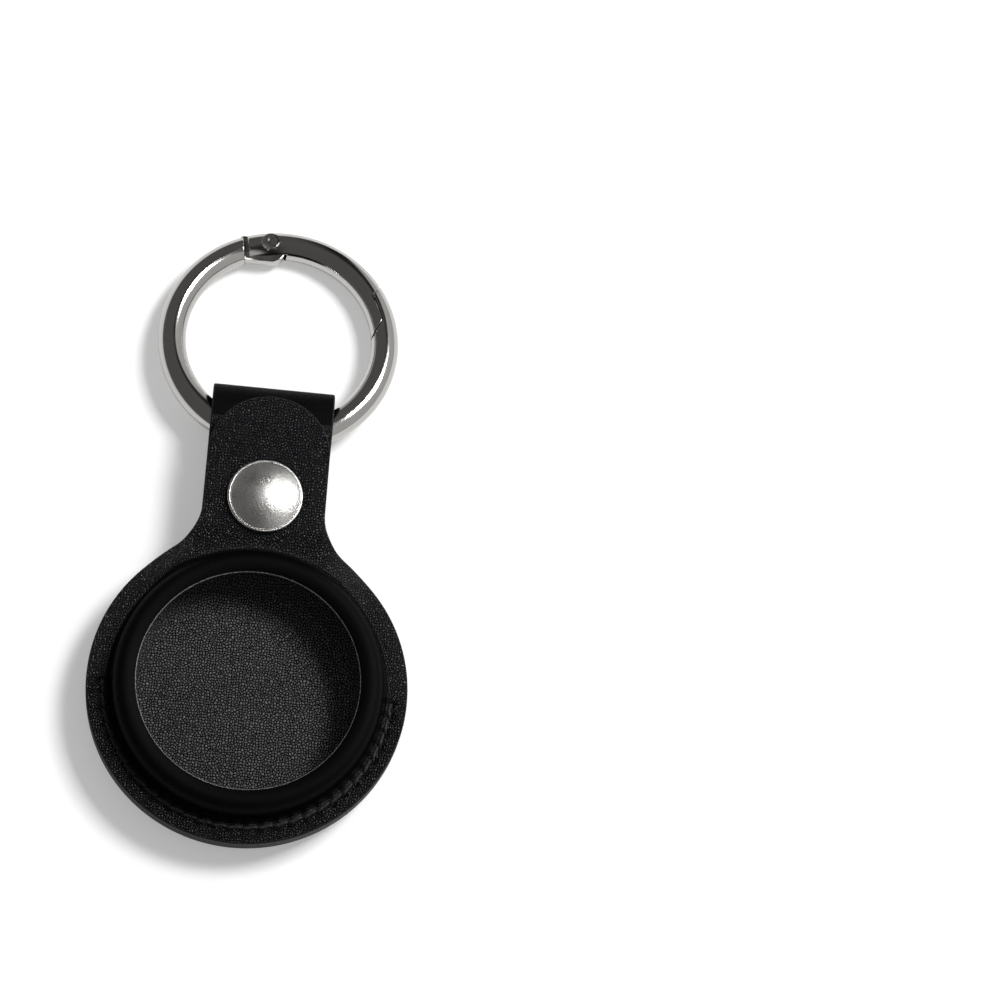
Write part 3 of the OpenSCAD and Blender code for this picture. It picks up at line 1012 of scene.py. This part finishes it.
@dataclass
class BackLeather:
    """Back sheet: domed disc and strap, folded round the ring and back under the snap."""

    pocket: Pocket
    fold_share: float = 0.75
    fillet: float = 1.5
    print_r: float = 10.0
    print_deep: float = 0.15
    pull: float = 0.42
    pinch_y: float = 30.5
    pinch_z: float = 4.425
    end_y: float = 21.4
    pivot: Point = (36.45, 4.408)
    fold_y: float = 37.5
    loop_out: float = 4.408
    stack_z: float = 5.65
    columns: int = 400
    rows_flange: int = 24
    border: list[Point] = field(default_factory=list)
    section: list[Point] = field(default_factory=list)

    def outline(self) -> list[Point]:
        """Points of the outline from the bottom round by +X, with the strap's straight end.

        Returns:
            As many points as the sheet has columns.
        """
        half, r = self.pocket.strap_half, self.fillet
        centre, touch = self.pocket.fillet(r)
        side, bend, end = 32, 6, 26
        round_n = self.columns // 2 - end - side - bend
        return mirrored(
            arc((0.0, 0.0), self.pocket.disc_r, -90.0, touch, round_n)
            + arc(centre, r, touch + 180.0, 180.0, bend)[1:]
            + line((half, centre[1]), (half, self.pinch_y), side)[1:]
            + line((half, self.pinch_y), (0.0, self.pinch_y), end)[1:]
        )

    def profile(self) -> list[Point]:
        """Section of the dome's face, from the centre to the foot of the dome.

        Returns:
            Radius and height of its points.
        """
        r, deep = self.print_r, self.print_deep
        inner = [(0.0, deep), (r - 1.0, deep), (r, deep), (r + 0.03, 0.02)]
        return inner + [(r + 0.2, 0.0), (r + 1.2, 0.0)] + self.pocket.slope(0.0, 18, 6)

    def spot(self, row: int, column: int) -> Spot:
        """Place of the sheet's face at a ring and a spoke.

        Args:
            row: Ring, counted from the centre outwards.
            column: Spoke, counted from -Y.

        Returns:
            X, Y and Z in millimetres, and how far the hide is drawn there.
        """
        out, ux, uy = spoke(self.border[column])
        if row < len(self.section):
            r, z = self.section[row]
            return (r * ux, r * uy, z, 0.25 * ease(13.0, 17.0, r))
        row -= len(self.section)
        last, foot_r = out - self.pocket.edge_row, self.pocket.foot_r
        r = out if row == self.rows_flange else (
            foot_r + (last - foot_r) * (row + 1) / (self.rows_flange + 1)
        )
        x, y = r * ux, r * uy
        z = self.pocket.dome_z + self.pocket.pucker(x, y, self.pull)
        return (x, y, z + self.pocket.dent(x, y), 0.0)

    def path(self) -> list[Point]:
        """Side view of the fold's outer face, from the strap to its end.

        Returns:
            Y and Z of its points.
        """
        py, pz = self.pivot
        away = math.dist(self.pivot, (self.pinch_y, self.pinch_z))
        lean = 180 + math.degrees(math.atan2(pz - self.pinch_z, py - self.pinch_y))
        wrap = math.degrees(math.acos((self.loop_out - 0.9) / away))
        bottom = arc(self.pivot, self.loop_out, lean + wrap, 270, 8)
        turn = arc((self.fold_y, pz), self.loop_out, -90, 90, 28)
        top = arc(self.pivot, self.loop_out, 90, lean - wrap, 8)
        points = (
            line((self.pinch_y, self.pocket.dome_z), bottom[0], 12)[1:] + bottom[1:]
            + line(bottom[-1], turn[0], 3)[1:] + turn[1:]
            + line(turn[-1], top[0], 3)[1:] + top[1:]
            + line(top[-1], (self.pinch_y, self.stack_z), 12)[1:]
            + line((self.pinch_y, self.stack_z), (self.end_y, self.stack_z), 22)[1:]
        )
        # The hide doesn't crease where the slopes start, so their corners are eased
        for _ in range(6):
            points = [points[0]] + [
                ((a[0] + 2 * b[0] + c[0]) / 4, (a[1] + 2 * b[1] + c[1]) / 4)
                for a, b, c in zip(points, points[1:], points[2:])
            ] + [points[-1]]
        return points

    def fold(self, bm: bmesh.types.BMesh) -> None:
        """Draws the strap's straight end out along the fold.

        Args:
            bm: Moulded sheet, which gets the fold.
        """
        drawn = bm.verts.layers.float["drawn"]
        hide = bm.verts.layers.float_vector["hide"]
        run, last = self.pinch_y, (self.pinch_y, self.pocket.dome_z)
        edges = [
            e for e in bm.edges
            if e.is_boundary and all(abs(v.co.y - self.pinch_y * MM) < WELD for v in e.verts)
        ]
        for y, z in self.path():
            run, last = run + math.dist(last, (y, z)), (y, z)
            out = bmesh.ops.extrude_edge_only(bm, edges=edges)["geom"]
            edges = [g for g in out if isinstance(g, bmesh.types.BMEdge)]
            for vert in (g for g in out if isinstance(g, bmesh.types.BMVert)):
                vert.co.y, vert.co.z = y * MM, z * MM
                vert[hide] = (vert.co.x, run * MM, self.pocket.dome_z * MM)
                vert[drawn] = 0.8 * ease(33.0, 37.0, y)

    def build(self) -> None:
        """Builds and dresses the sheet."""
        self.border = self.outline()
        self.section = self.profile()
        bm = washer(len(self.section) + self.rows_flange + 1, self.columns)
        mould(bm, self.columns, self.spot)
        bmesh.ops.remove_doubles(bm, verts=bm.verts, dist=WELD)
        self.fold(bm)
        face_to(bm, Vector((0.0, 0.0, 0.0)), Vector((0, 0, -1)))
        piece = add_piece("back_leather", bm, [LEATHER, EDGE, DRAWN])
        # The strap is skived thinner where it goes round the ring
        share = piece.vertex_groups.new(name="thickness")
        for vert in piece.data.vertices:
            part = ease(31.0, 34.5, vert.co.y / MM)
            share.add([vert.index], 1.0 - (1.0 - self.fold_share) * part, "REPLACE")
        thicken(piece, self.pocket.sheet, self.pocket.cut_edge, group="thickness")
        stretch(piece, 2)
        hand_over(piece, ["back_panel"], Body.HOLDER)


@dataclass
class Lining:
    """Lining of the dome, whose face is the pocket's floor, with its flange."""

    pocket: Pocket
    thickness: float = 0.6
    floor_z: float = 1.8
    columns: int = 240
    section: list[Point] = field(default_factory=list)

    def profile(self) -> list[Point]:
        """Section of the lining's face, from the centre to its edge.

        Returns:
            Radius and height of its points.
        """
        pocket, floor = self.pocket, self.floor_z
        flat = [(pocket.base_r * i / 8, floor) for i in range(8)]
        top = pocket.dome_z + floor
        flange = line((pocket.foot_r, top), (pocket.disc_r, top), 8)
        return flat + pocket.slope(floor, 12, 8) + flange[1:]

    def spot(self, row: int, column: int) -> Spot:
        """Place of the lining's face at a ring and a spoke.

        Args:
            row: Ring, counted from the centre outwards.
            column: Spoke, counted from -Y.

        Returns:
            X, Y and Z in millimetres, and how far the hide is drawn there, which on the wall also stands for
            painted shade.
        """
        r, z = self.section[row]
        angle = 2 * math.pi * column / self.columns - math.pi / 2
        # The sheet is laid in by hand, so its floor lies a little uneven
        wave = 0.03 * math.sin(3 * angle + 0.7) * ease(0.0, 9.0, r) * ease(15.0, 11.0, r)
        # On the wall the grain is drawn flat, and its colour is darkened there as painted shade under the
        # rim
        return (r * math.cos(angle), r * math.sin(angle), z + wave, 0.6 * ease(13.3, 14.4, r))

    def build(self) -> None:
        """Builds and dresses the lining."""
        self.section = self.profile()
        bm = washer(len(self.section), self.columns)
        mould(bm, self.columns, self.spot)
        bmesh.ops.remove_doubles(bm, verts=bm.verts, dist=WELD)
        face_to(bm, Vector((0.0, 0.0, self.floor_z)) * MM, Vector((0, 0, 1)))
        piece = add_piece("pocket_lining", bm, [LINING, EDGE])
        thicken(piece, self.thickness, 0.0)
        hand_over(piece, ["back_lining"], Body.HOLDER)


@dataclass
class Stitching:
    """Row of lock stitches, with a twisted thread on each side."""

    pocket: Pocket
    thread_d: float = 0.5
    slant: float = 6.0
    sink: float = 0.4
    plies: int = 3
    groove: float = 0.16
    proud: float = 0.72
    dive: float = 0.95
    nod: float = 1.25
    twist: float = 150.0
    sides: int = 12
    steps: int = 14

    def stitch(
        self, bm: bmesh.types.BMesh, level: float, side: int
    ) -> list[bmesh.types.BMVert]:
        """Makes one stitch along Y at X of the row, dipping into its two holes.

        Args:
            bm: Mesh that gets the stitch.
            level: Height of the leather's face.
            side: 1 on the front, -1 on the back.

        Returns:
            Vertices of the stitch.
        """
        radius = self.thread_d / 2
        half = self.pocket.stitch_r * math.sin(
            math.radians(self.pocket.stitch_turn / self.pocket.stitches / 2)
        )
        first = bmesh.ops.create_circle(
            bm, cap_ends=True, segments=self.sides, radius=1.0,
        )["verts"]
        for vert in first:
            a = math.atan2(vert.co.y, vert.co.x)
            ply = abs(math.cos(self.plies * a / 2))
            r = radius * (1.0 - self.groove + self.groove * ply)
            vert.co = Vector((r * math.cos(a), 0.0, r * math.sin(a))) * MM
        local = [v.co.copy() for v in first]
        verts, ring = list(first), list(first)
        for step in range(self.steps + 1):
            t = 2.0 * step / self.steps - 1.0
            y = half * math.sin(t * math.pi / 2)
            z = radius * self.proud - self.dive * abs(t) ** 5
            pitch = -math.copysign(self.nod * abs(t) ** 4, t)
            twist = Matrix.Rotation(t * math.radians(self.twist), 4, "Y")
            turn = Matrix.Rotation(pitch * side, 4, "X") @ twist
            move = Matrix.Translation(Vector((0.0, y, side * z)) * MM)
            if step:
                edges = [e for e in bm.edges if e.verts[0] in ring and e.verts[1] in ring]
                out = bmesh.ops.extrude_edge_only(bm, edges=edges)["geom"]
                new = [g for g in out if isinstance(g, bmesh.types.BMVert)]
                ring = self.matched(ring, new)
                verts += new
            for vert, co in zip(ring, local):
                vert.co = move @ turn @ co
        bmesh.ops.contextual_create(bm, geom=ring)
        lean = Matrix.Rotation(math.radians(self.slant), 4, "Z")
        lift = Matrix.Translation(Vector((self.pocket.stitch_r, 0.0, level)) * MM)
        bmesh.ops.transform(bm, matrix=lift @ lean, verts=verts)
        return verts

    @staticmethod
    def matched(
        old: list[bmesh.types.BMVert], new: list[bmesh.types.BMVert]
    ) -> list[bmesh.types.BMVert]:
        """Puts the extruded vertices in the order of the ring that they came from."""
        return [min(new, key=lambda v: (v.co - o.co).length_squared) for o in old]

    def build_side(self, name: str, node: str, level: float, side: int) -> None:
        """Builds the row of one thread.

        Args:
            name: Name of the piece.
            node: CAD node that it stands for.
            level: Height of the leather's face.
            side: 1 on the front, -1 on the back.
        """
        bm = bmesh.new()
        stitches = [self.stitch(bm, level, side)]
        faces = list(bm.faces)
        for _ in range(self.pocket.stitches - 1):
            copy = bmesh.ops.duplicate(bm, geom=faces)["geom"]
            stitches.append([g for g in copy if isinstance(g, bmesh.types.BMVert)])
        angles = self.pocket.stitch_angles()
        for verts, start, end in zip(stitches, angles, angles[1:]):
            turn = Matrix.Rotation(math.radians((start + end) / 2), 3, "Z")
            bmesh.ops.rotate(bm, cent=(0, 0, 0), matrix=turn, verts=verts)
        bmesh.ops.recalc_face_normals(bm, faces=bm.faces)
        piece = add_piece(name, bm, [THREAD], crease=60.0)
        hand_over(piece, [node], Body.HOLDER)

    def build(self) -> None:
        """Builds both threads."""
        sunk = self.pocket.front_z - self.sink
        self.build_side("front_stitches", "needle_thread", sunk, 1)
        self.build_side("back_stitches", "bobbin_thread", self.pocket.dome_z, -1)


@dataclass
class BlankPrint:
    """Plain printed disc on the flat of the dome."""

    radius: float
    depth: float

    def build(self) -> None:
        """Builds and dresses the disc."""
        r, d = self.radius, self.depth
        profile = [
            (0.0, d), (r - 0.02, d), (r, d - 0.02), (r, 0.03), (r - 0.02, 0.008),
            (r - 0.06, 0.0), (0.0, 0.0),
        ]
        piece = add_piece("print_face", turned(profile, (0.0, 0.0), 160), [INK])
        hand_over(piece, ["print_disc"], Body.HOLDER)


# ---------------------------------------------------------------- metal parts


@dataclass
class SnapCap:
    """Pressed cap of the snap: shallow dome with its edge rolled under."""

    centre: Point
    radius: float = 5.0
    height: float = 1.9
    edge: float = 0.35
    sheet: float = 0.3
    curl: float = 0.2
    curl_z: float = 0.26
    hem: float = 1.4
    rim_in: float = 0.42
    inner_in: float = 0.75

    def profile(self) -> list[Point]:
        """Section of the cap, from the pole out, under and back.

        Returns:
            Radius and height of its points.
        """
        sag = self.height - self.edge
        ball = (self.radius**2 + sag**2) / (2 * sag)
        low = self.height - ball
        rim = self.radius - self.rim_in
        out = math.degrees(math.acos(rim / ball))
        dome = arc((0.0, low), ball, 90.0, out, 24)
        dip = dome[-1][1]
        # A fine groove parts the dome from its rolled edge
        roll = [(rim + 0.05, dip - 0.09), (rim + 0.1, dip - 0.1), (rim + 0.16, dip - 0.06)]
        edge = arc((self.radius - self.curl, self.curl_z), self.curl, 95.0, -70.0, 10)
        hem = self.radius - self.hem
        under = [(self.radius - 0.25, 0.0), (hem, 0.0), (hem, 0.15)]
        inner = ball - self.sheet
        start = math.degrees(math.acos((self.radius - self.inner_in) / inner))
        inside = arc((0.0, low), inner, start, 90.0, 10)
        return dome + roll + edge + under + inside

    def build(self, name: str, node: str, level: float, side: int, body: Body) -> None:
        """Builds and dresses the cap.

        Args:
            name: Name of the piece.
            node: CAD node that it stands for.
            level: Height of the leather that it sits on.
            side: 1 where it looks up, -1 where it looks down.
            body: Body that it rides on.
        """
        bm = turned(self.profile(), self.centre, 144)
        bmesh.ops.scale(bm, vec=(1.0, 1.0, side), verts=bm.verts)
        bmesh.ops.translate(bm, vec=(0.0, 0.0, level * MM), verts=bm.verts)
        bmesh.ops.recalc_face_normals(bm, faces=bm.faces)
        piece = add_piece(name, bm, [CAP_NICKEL], crease=50.0)
        hand_over(piece, [node], body)


@dataclass
class TumbledRing:
    """Ring, gate and pin: their CAD shape with edges rounded in the tumbling barrel."""

    wire_r: float = 1.875
    ring_r: float = 14.5
    sharp: float = 38.0
    seam: float = 0.002
    facet: float = 0.6
    off_wire: float = 0.012
    centre: tuple[float, float, float] = (0.0, 49.3863, 3.2583)
    normal: tuple[float, float, float] = (0.0, 0.088504, 0.996076)

    def round_normal(self, spot: Vector) -> Vector | None:
        """Direction in which the round wire looks at a place.

        Args:
            spot: Place in metres.

        Returns:
            The direction, or nothing where the place isn't on the wire's round face.
        """
        axis = Vector(self.normal)
        arm = spot / MM - Vector(self.centre)
        flat = arm - axis * arm.dot(axis)
        away = arm - flat.normalized() * self.ring_r
        if abs(away.length - self.wire_r) > self.off_wire:
            return None
        return away.normalized()

    def build(self, name: str, node: str, body: Body, broken: float) -> None:
        """Copies a node's mesh, breaks its edges and smooths its round faces.

        Args:
            name: Name of the piece.
            node: CAD node that it stands for.
            body: Body that it rides on.
            broken: Width of its broken edges in millimetres.
        """
        bm = bmesh.new()
        bm.from_mesh(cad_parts[node].data)
        bmesh.ops.remove_doubles(bm, verts=bm.verts, dist=self.seam * MM)
        bmesh.ops.dissolve_limit(
            bm, angle_limit=math.radians(self.facet), verts=bm.verts, edges=bm.edges,
        )
        edges = [
            e for e in bm.edges
            if e.is_manifold and e.calc_face_angle(0.0) > math.radians(self.sharp)
        ]
        bmesh.ops.bevel(
            bm, geom=edges, affect="EDGES", offset_type="OFFSET", offset=broken * MM,
            segments=3, profile=0.5, material=-1, clamp_overlap=False,
        )
        piece = add_piece(name, bm, [RING_NICKEL], crease=40.0)
        mesh = piece.data
        normals: list[Vector] = []
        for face in mesh.polygons:
            looks = [self.round_normal(mesh.vertices[i].co) for i in face.vertices]
            whole = all(n is not None and n.dot(face.normal) > 0.8 for n in looks)
            normals += looks if whole else [Vector((0.0, 0.0, 0.0))] * len(looks)
        mesh.normals_split_custom_set(normals)
        hand_over(piece, [node], body)


@dataclass
class PlainHardware:
    """Metal parts whose CAD shape is right, and which only get their finish."""

    nickel: tuple[str, ...] = (
        "front_post", "snap_socket", "snap_stud", "rear_post", "gate_pusher",
    )
    steel: tuple[str, ...] = ("socket_spring", "gate_spring")

    def dress(self) -> None:
        """Puts the finishes on the CAD nodes."""
        for name in self.nickel + self.steel:
            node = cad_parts[name]
            finish = STEEL if name in self.steel else INNER_NICKEL
            node.data.materials.clear()
            node.data.materials.append(finish_of(finish))
            LOG.info("%s: CAD shape, %s", name, finish.name)


# ---------------------------------------------------------------- studio


@dataclass
class Studio:
    """White table, soft light, the room that metal mirrors, and the camera."""

    focal: float = 118.62
    target: tuple[float, float, float] = (32.03, 30.82, 0.0)
    distance: float = 450.0
    elevation: float = 71.29
    azimuth: float = -15.06
    roll: float = 19.75
    sensor: float = 36.0
    nearest: float = 10.0
    board: str = "#e4e4e4"
    board_half: float = 2000.0
    board_z: float = -0.02
    near_white: float = 0.28
    near: float = 160.0
    far: float = 600.0
    key_place: tuple[float, float, float] = (265.0, 190.0, 470.0)
    key_aim: tuple[float, float, float] = (0.0, 15.0, 5.0)
    key_size: float = 170.0
    key_watts: float = 2.9
    room_light: float = 0.32
    # Axis, where a ramp of the mirrored room starts and ends, and its brightness there
    cove: Ramp = ("Z", 0.0, 0.14, 0.85, 0.12)
    frame_side: Ramp = ("X", 0.02, 0.2, 1.0, 0.15)
    window: Ramp = ("X", 0.3, 0.42, 0.0, 0.62)

    def floor(self) -> None:
        """Builds the table, which stays white to the camera and keeps the shadow."""
        bm = bmesh.new()
        bmesh.ops.create_grid(bm, x_segments=8, y_segments=8, size=self.board_half * MM)
        bmesh.ops.translate(bm, vec=(0.0, 0.0, self.board_z * MM), verts=bm.verts)
        mesh = bpy.data.meshes.new("table")
        bm.to_mesh(mesh)
        bm.free()
        material, tree = new_tree("matt_white_board")
        ray = add_node(tree, "LightPath").outputs
        paint = add_node(tree, "BsdfDiffuse", {"Color": linear(self.board), "Roughness": 0.0})
        # Far from the lamp the table gets darker, and its own white takes over
        place = add_node(tree, "TexCoord").outputs["Object"]
        away = add_node(tree, "VectorMath", {0: place}, operation="LENGTH").outputs["Value"]
        white = add_node(
            tree, "MapRange",
            {
                "Value": away, "From Min": self.near * MM, "From Max": self.far * MM,
                "To Min": self.near_white, "To Max": 1.0,
            },
            interpolation_type="SMOOTHSTEP",
        )
        seen, in_metal = (
            add_node(tree, "Math", {0: ray[kind], 1: share}, operation="MULTIPLY")
            for kind, share in (("Is Camera Ray", white), ("Is Glossy Ray", self.near_white))
        )
        lift = add_node(tree, "Math", {0: seen, 1: in_metal}, operation="MAXIMUM")
        glow = add_node(tree, "Emission", {"Color": WHITE, "Strength": lift})
        both = add_node(tree, "AddShader", {0: paint, 1: glow})
        add_node(tree, "OutputMaterial", {"Surface": both})
        mesh.materials.append(material)
        table = bpy.data.objects.new("table", mesh)
        bpy.context.scene.collection.objects.link(table)

    def room(self) -> None:
        """Sets the world: white to the camera, a dim room with a bright horizon to metal."""
        world = bpy.data.worlds.new("studio_room")
        bpy.context.scene.world = world
        world.use_nodes = True
        tree = world.node_tree
        tree.nodes.clear()
        ray = add_node(tree, "LightPath").outputs
        way = add_node(tree, "TexCoord").outputs["Generated"]
        parts = add_node(tree, "SeparateXYZ", {0: way}).outputs
        # Bright horizon, and on the right a window behind a dark frame
        cove, frame_side, window = (
            add_node(
                tree, "MapRange",
                {
                    "Value": parts[axis], "From Min": start, "From Max": end,
                    "To Min": first, "To Max": last,
                },
                interpolation_type="SMOOTHSTEP",
            )
            for axis, start, end, first, last in (self.cove, self.frame_side, self.window)
        )
        wall = add_node(tree, "Math", {0: cove, 1: frame_side}, operation="MULTIPLY")
        in_metal = add_node(tree, "Math", {0: wall, 1: window}, operation="MAXIMUM")
        glossy = add_node(
            tree, "Mix", {0: ray["Is Glossy Ray"], 2: self.room_light, 3: in_metal},
            data_type="FLOAT",
        )
        camera = add_node(
            tree, "Mix", {0: ray["Is Camera Ray"], 2: glossy, 3: 1.0}, data_type="FLOAT"
        )
        sky = add_node(tree, "Background", {"Color": WHITE, "Strength": camera})
        add_node(tree, "OutputWorld", {"Surface": sky})

    def lamp(self) -> None:
        """Hangs the soft box, which looks at the holder."""
        light = bpy.data.lights.new("key_soft_box", "AREA")
        light.shape = "RECTANGLE"
        light.size = light.size_y = self.key_size * MM
        light.energy = self.key_watts
        lamp = bpy.data.objects.new("key_soft_box", light)
        lamp.location = Vector(self.key_place) * MM
        look = Vector(self.key_aim) * MM - lamp.location
        lamp.rotation_euler = look.to_track_quat("-Z", "Y").to_euler()
        bpy.context.scene.collection.objects.link(lamp)

    def camera(self) -> None:
        """Places the camera at the photograph's angle, distance and roll."""
        az, el, roll = (math.radians(a) for a in (self.azimuth, self.elevation, self.roll))
        ahead = Vector((
            -math.sin(az) * math.cos(el), math.cos(az) * math.cos(el), -math.sin(el),
        ))
        right = Vector((math.cos(az), math.sin(az), 0.0))
        up = right.cross(ahead)
        side = right * math.cos(roll) + up * math.sin(roll)
        top = up * math.cos(roll) - right * math.sin(roll)
        data = bpy.data.cameras.new("camera")
        data.lens = self.focal
        data.sensor_width = self.sensor
        data.clip_start = self.nearest * MM
        camera = bpy.data.objects.new("camera", data)
        spot = Vector(self.target) * MM - ahead * self.distance * MM
        turn = Matrix((side, top, -ahead)).transposed().to_4x4()
        camera.matrix_world = Matrix.Translation(spot) @ turn
        bpy.context.scene.collection.objects.link(camera)
        bpy.context.scene.camera = camera

    def build(self) -> None:
        """Builds the studio."""
        bpy.context.scene.view_settings.view_transform = "Standard"
        self.camera()
        self.floor()
        self.room()
        self.lamp()


def main() -> None:
    """Builds every piece in order and reports it."""
    logging.basicConfig(level=logging.INFO, format="%(name)s %(message)s")
    Studio().build()
    pocket = Pocket()
    front, back = FrontLeather(pocket), BackLeather(pocket)
    front.build()
    back.build()
    Lining(pocket).build()
    Stitching(pocket).build()
    BlankPrint(back.print_r, back.print_deep).build()
    cap = SnapCap((0.0, pocket.snap_y))
    cap.build("snap_cap_front", "front_cap", front.tongue_top, 1, Body.FLAP)
    cap.build("snap_cap_back", "rear_cap", pocket.dome_z, -1, Body.HOLDER)
    ring = TumbledRing()
    ring.build("key_ring", "ring_body", Body.RING, broken=0.13)
    ring.build("ring_gate_arm", "ring_gate", Body.GATE, broken=0.13)
    ring.build("gate_rivet", "gate_pin", Body.RING, broken=0.04)
    PlainHardware().dress()


if __name__ == "__main__":
    main()
